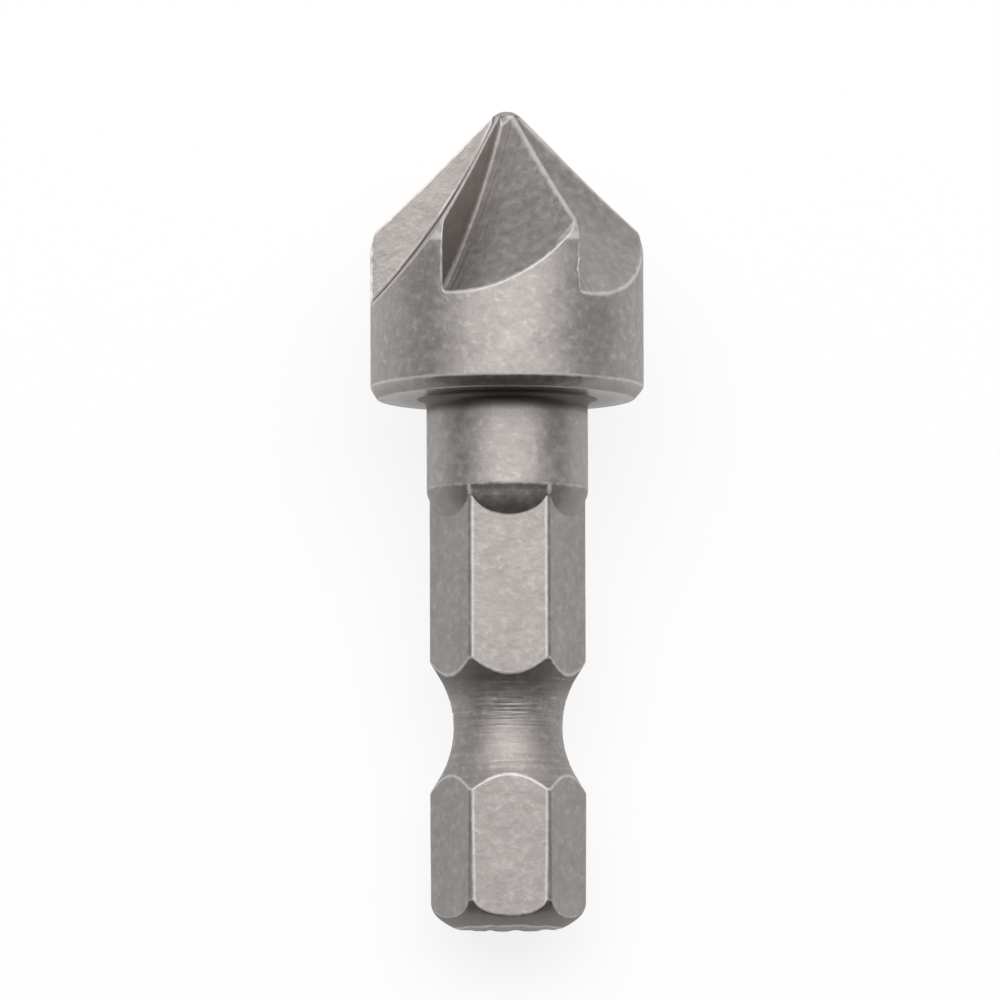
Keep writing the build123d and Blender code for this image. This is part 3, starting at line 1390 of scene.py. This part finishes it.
@dataclass
class CountersinkBit:
    """The whole bit, turned and milled from one piece of steel."""

    shank: Shank = field(default_factory=Shank)
    head: CuttingHead = field(default_factory=CuttingHead)
    pose: RestPose = field(default_factory=RestPose)
    finish: TumbledSteel = field(default_factory=TumbledSteel)
    seed: int = 11
    usual_cut: float = 0.35
    cut: Shares = field(
        default_factory=lambda: {
            Region.TAIL_FACE: 0.8,
            Region.HEX: 0.12,
            Region.GROOVE: 0.9,
            Region.NECK: 0.12,
            Region.RIM: 0.1,
            Region.HEAD_SIDE: 0.1,
            Region.FLOOR: Fade(Measure.FROM_ROOT, 0.3, 1.4, 1.5, 0.25),
            Region.LAND: 0.3,
            Region.CUTTING_FACE: 0.4,
            Region.TIP: 0.3,
        }
    )
    # Shares of painted shade: darker on the tail's face and rounding, the groove's upper flank, the
    # run-out, the neck's top, the underside next to it, the rim's foot, the cutting faces and the
    # flutes' roots, and a little on the hex.
    painted_shade: Shares = field(
        default_factory=lambda: {
            Region.TAIL_FACE: 0.4,
            Region.TAIL_ROUND: 0.65,
            Region.HEX: 0.13,
            Region.GROOVE: Fade(Measure.HEIGHT, 10.3, 11.6, 0.08, 0.58),
            Region.RUN_OUT: 0.32,
            Region.NECK: Fade(Measure.HEIGHT, 23.75, 24.2, 0.0, 0.9),
            Region.UNDERSIDE: Fade(Measure.RADIUS, 4.4, 5.6, 0.65, 0.12),
            Region.RIM: Fade(Measure.HEIGHT, 24.69, 25.19, 0.38, 0.05),
            Region.FLOOR: Fade(Measure.FROM_ROOT, 0.1, 1.7, 0.12, 0.0),
            Region.CUTTING_FACE: 0.42,
        }
    )
    smoothness: Shares = field(
        default_factory=lambda: {
            Region.GROOVE: -0.55,
            Region.UNDERSIDE: 1.0,
            Region.RIM: 0.4,
            Region.HEAD_SIDE: -0.15,
            Region.FLOOR: 0.3,
            Region.CUTTING_FACE: 0.7,
        }
    )

    def surface(self) -> Shell:
        """Draws the standing surface.

        Returns:
            The surface as rings and faces, in mm.
        """
        shell = Shell()
        ring, angles = self.shank.build(shell)
        self.head.build(shell, ring, angles)
        return shell

    def soften(
        self, points: np.ndarray, creases: np.ndarray, faces: list[tuple[int, ...]]
    ) -> np.ndarray:
        """Rounds the edges a little by drawing their points in.

        Args:
            points: All points, in mm.
            creases: True where an edge runs through a point.
            faces: The faces' corners.

        Returns:
            The points with rounded edges.
        """
        pairs = np.array([(f[n - 1], f[n]) for f in faces for n in range(len(f))])
        both = np.unique(np.sort(pairs, axis=1), axis=0)
        total, weight = np.zeros_like(points), np.zeros(len(points))
        for a, b in (both.T, both.T[::-1]):
            np.add.at(total, a, points[b])
            np.add.at(weight, a, 1.0)
        mean = total / np.maximum(weight, 1.0)[:, None]
        return np.where(creases[:, None], mean, points)

    def roughen(self, points: np.ndarray, wear: np.ndarray) -> np.ndarray:
        """Adds the small unevenness of used steel, more of it along the edges.

        Args:
            points: All points, in mm.
            wear: Edge wear at each.

        Returns:
            The uneven points.
        """
        noise.seed_set(self.seed)
        moved = points.copy()
        for n, (p, w) in enumerate(zip(points, wear)):
            broad = noise.noise_vector(Vector(p) * 0.9)
            fine = noise.noise_vector(Vector(p) * 3.1 + Vector((7.0, 3.0, 5.0)))
            torn = 0.0015 + 0.018 * max(w - 0.6, 0.0)
            moved[n] += np.array(broad) * 0.005 + np.array(fine) * torn
        return moved

    def measured(self, points: np.ndarray) -> tuple[np.ndarray, dict[Measure, np.ndarray]]:
        """Measures the standing surface.

        Args:
            points: Points, in mm.

        Returns:
            Each point's distance along its flute, and the measures that shares depend on.
        """
        x, y, z = points.T
        radius, turn = np.hypot(x, y), np.degrees(np.arctan2(y, x))
        sector = np.radians((turn - self.head.phase) % SECTOR)
        measures = {
            Measure.HEIGHT: z,
            Measure.RADIUS: radius,
            Measure.FROM_ROOT: radius * np.sin(sector),
        }
        return radius * np.cos(sector), measures

    def paths(self, points: np.ndarray, regions: np.ndarray) -> np.ndarray:
        """Works out how the tools ran over the surface.

        Args:
            points: The standing point at each face corner, in mm.
            regions: The region's number at each face corner.

        Returns:
            Distances along and across the tool's path, and a number for the kind of cut.
        """
        x, y, z = points.T
        flute, measures = self.measured(points)
        radius, from_root = measures[Measure.RADIUS], measures[Measure.FROM_ROOT]
        turn = np.arctan2(y, x)
        offset = np.radians((np.degrees(turn) - self.shank.bar.front + HALF) % SECTOR - HALF)
        centre_x, centre_z = self.head.cutter_centre
        swung = np.hypot(flute - centre_x, z - centre_z)
        along, across = turn * radius, z.copy()
        for region, run, step in (
            (Region.HEX, z, radius * np.sin(offset)),
            (Region.FLOOR, flute, from_root),
            (Region.CUTTING_FACE, flute, swung),
            (Region.LAND, along, radius),
            (Region.TIP, along, radius),
            (Region.TAIL_FACE, y, x),
        ):
            inside = regions == region.value
            along, across = np.where(inside, run, along), np.where(inside, step, across)
        return np.stack([along, across, regions * 3.7], axis=1)

    def spread(
        self, shares: Shares, points: np.ndarray, regions: np.ndarray, usual: float
    ) -> np.ndarray:
        """Spreads the regions' shares over the surface.

        Args:
            shares: The share in each region.
            points: The standing point at each face corner, in mm.
            regions: The region's number at each face corner.
            usual: The share in all other regions.

        Returns:
            The share at each face corner.
        """
        _, measures = self.measured(points)
        made = np.full(len(regions), usual)
        for region, share in shares.items():
            value = share.at(measures) if isinstance(share, Fade) else share
            made = np.where(regions == region.value, value, made)
        return made

    def build(self, effects: SharedEffects) -> bpy.types.Object:
        """Makes the steel piece and dresses it.

        Args:
            effects: The shared node groups.

        Returns:
            The piece.
        """
        shell = self.surface()
        points = np.concatenate(shell.points)
        wear, creases = np.concatenate(shell.wear), np.concatenate(shell.creases)
        standing = self.roughen(self.soften(points, creases, shell.faces), wear)
        lying = np.clip(self.pose.points(standing), np.array(cad_low), np.array(cad_high))
        mesh = bpy.data.meshes.new(PIECE)
        mesh.from_pydata(lying.tolist(), [], shell.faces)
        mesh.polygons.foreach_set("use_smooth", np.ones(len(mesh.polygons), bool))
        sides = np.array([len(f) for f in shell.faces])
        corners = standing[np.concatenate(shell.faces)]
        regions = np.repeat(np.array([r.value for r in shell.regions]), sides)
        self.keep(mesh, "edge_wear_and_highlight", "POINT", wear)
        self.keep(mesh, "tool_path", "CORNER", self.paths(corners, regions))
        for name, shares, usual in (
            ("tool_cut", self.cut, self.usual_cut),
            # Shares of painted shade, spread over the face corners.
            ("painted_shade", self.painted_shade, 0.0),
            ("smooth_cut", self.smoothness, 0.0),
        ):
            self.keep(mesh, name, "CORNER", self.spread(shares, corners, regions, usual))
        mesh.materials.append(self.finish.material(effects))
        mesh.update()
        piece = bpy.data.objects.new(PIECE, mesh)
        bpy.context.scene.collection.objects.link(piece)
        piece.modifiers.new("even_shading", "WEIGHTED_NORMAL").weight = 70
        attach(piece, BODY)
        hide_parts(NODE)
        triangles = int(np.sum(sides - 2))
        log.info("%s: %d points, %d triangles", piece.name, len(points), triangles)
        return piece

    def keep(self, mesh: bpy.types.Mesh, name: str, domain: str, values: np.ndarray) -> None:
        """Keeps values on the mesh under a name.

        Args:
            mesh: The mesh.
            name: The name that the finish reads them by.
            domain: What each value belongs to, a point or a face corner.
            values: One number, or one row of three, for each.
        """
        kind, key = ("FLOAT", "value") if values.ndim == 1 else ("FLOAT_VECTOR", "vector")
        made = mesh.attributes.new(name, kind, domain)
        made.data.foreach_set(key, values.astype(np.float32).ravel())


@dataclass
class Viewpoint:
    """A camera far off on the bit's tail side, looking almost squarely at one shank flat."""

    distance: float = 465.0
    lens: float = 360.6
    aim_height: float = 19.944
    aim_side: float = -0.345
    tail_side: float = 5.2
    azimuth: float = -1.5
    roll: float = -0.15

    def build(self, pose: RestPose) -> bpy.types.Object:
        """Places the camera.

        Args:
            pose: How the bit lies.

        Returns:
            The camera.
        """
        e, a, r = (math.radians(v) for v in (self.tail_side, self.azimuth, self.roll))
        back = Vector((math.sin(a) * math.cos(e), -math.cos(a) * math.cos(e), -math.sin(e)))
        right = Vector((math.cos(a), math.sin(a), 0.0))
        up = back.cross(right)
        right, up = right * math.cos(r) + up * math.sin(r), up * math.cos(r) - right * math.sin(r)
        stand = Vector((0.0, 0.0, self.aim_height)) + right * self.aim_side + back * self.distance
        turned = Matrix([pose.laid(*v) for v in (right, up, back)]).transposed().to_4x4()
        data = bpy.data.cameras.new("camera")
        data.lens, data.sensor_width = self.lens, 36.0
        data.clip_start, data.clip_end = 0.01, 20.0
        camera = bpy.data.objects.new("camera", data)
        camera.matrix_world = Matrix.Translation(pose.point(stand)) @ turned
        bpy.context.scene.collection.objects.link(camera)
        bpy.context.scene.camera = camera
        log.info("camera: %.0f mm away with a %.0f mm lens", self.distance, self.lens)
        return camera


@dataclass
class Studio:
    """A plain pale floor, a pale surround and one soft lamp."""

    floor_reach: float = 6.0
    floor_colour: Colour = (0.78, 0.78, 0.78, 1.0)
    white: Colour = (1.0, 1.0, 1.0, 1.0)
    floor_glow: float = 1.06
    floor_seen: float = 0.8
    floor_mirrored: float = 0.45
    horizon: float = 0.19
    overhead: float = 0.6
    tail_share: float = 0.08
    lamp_place: tuple[float, float, float] = (0.0, 0.22, 0.58)
    lamp_size: tuple[float, float] = (1.0, 0.5)
    lamp_power: float = 3.9

    def build_floor(self) -> bpy.types.Object:
        """Lays the floor, which looks white but keeps the bit's shadow.

        Returns:
            The floor.
        """
        r = self.floor_reach
        corners = [(-r, -r, 0.0), (r, -r, 0.0), (r, r, 0.0), (-r, r, 0.0)]
        mesh = bpy.data.meshes.new("floor")
        mesh.from_pydata(corners, [], [(0, 1, 2, 3)])
        material = bpy.data.materials.new("pale_floor")
        material.use_nodes = True
        sheet = NodeSheet(material.node_tree)
        plain = sheet.add("ShaderNodeBsdfDiffuse", {"Color": self.floor_colour})
        glowing = {"Color": self.white, "Strength": self.floor_glow}
        glow = sheet.add("ShaderNodeEmission", glowing)
        ray = sheet.add("ShaderNodeLightPath").outputs
        direct = sheet.math("MULTIPLY", ray["Is Camera Ray"], self.floor_seen)
        mirrored = sheet.math("MAXIMUM", ray["Is Glossy Ray"], ray["Is Transmission Ray"])
        mirrored = sheet.math("MULTIPLY", mirrored, self.floor_mirrored)
        seen = sheet.math("MAXIMUM", direct, mirrored)
        sheet.switch("ShaderNodeOutputMaterial", seen, plain, glow)
        mesh.materials.append(material)
        floor = bpy.data.objects.new("floor", mesh)
        bpy.context.scene.collection.objects.link(floor)
        return floor

    def build_surround(self) -> None:
        """Lights the scene softly from all round, less from the tail's side."""
        world = bpy.data.worlds.new("pale_surround")
        world.use_nodes = True
        bpy.context.scene.world = world
        sheet = NodeSheet(world.node_tree)
        place = sheet.add("ShaderNodeTexCoord").outputs["Generated"]
        split = sheet.add("ShaderNodeSeparateXYZ", {0: place}).outputs
        rise = sheet.remap(split["Z"], (0.0, 0.9), (self.horizon, self.overhead))
        ahead = sheet.remap(split["Y"], (-0.6, 0.3), (self.tail_share, 1.0))
        lighting = {"Color": self.white, "Strength": sheet.math("MULTIPLY", rise, ahead)}
        lit = sheet.add("ShaderNodeBackground", lighting)
        shown = sheet.add("ShaderNodeBackground", {"Color": self.white, "Strength": 1.0})
        seen = sheet.add("ShaderNodeLightPath").outputs["Is Camera Ray"]
        sheet.switch("ShaderNodeOutputWorld", seen, lit, shown)

    def build_lamp(self) -> bpy.types.Object:
        """Hangs the soft lamp, facing the bit.

        Returns:
            The lamp.
        """
        data = bpy.data.lights.new("soft_lamp_0", "AREA")
        data.shape, data.energy = "RECTANGLE", self.lamp_power
        data.size, data.size_y = self.lamp_size
        lamp = bpy.data.objects.new("soft_lamp_0", data)
        lamp.location = self.lamp_place
        lamp.rotation_euler = Vector(self.lamp_place).to_track_quat("Z", "Y").to_euler()
        bpy.context.scene.collection.objects.link(lamp)
        log.info("%s: %.2f by %.2f m, %.2f W", lamp.name, data.size, data.size_y, data.energy)
        return lamp


def main() -> None:
    """Builds the bit, the camera and the studio in order."""
    logging.basicConfig(level=logging.INFO, format="%(name)s: %(message)s")
    bpy.context.scene.view_settings.view_transform = "Standard"
    effects = SharedEffects()
    bit = CountersinkBit()
    Viewpoint().build(bit.pose)
    bit.build(effects)
    studio = Studio()
    studio.build_floor()
    studio.build_surround()
    studio.build_lamp()
    bpy.context.view_layer.update()


if __name__ == "__main__":
    main()
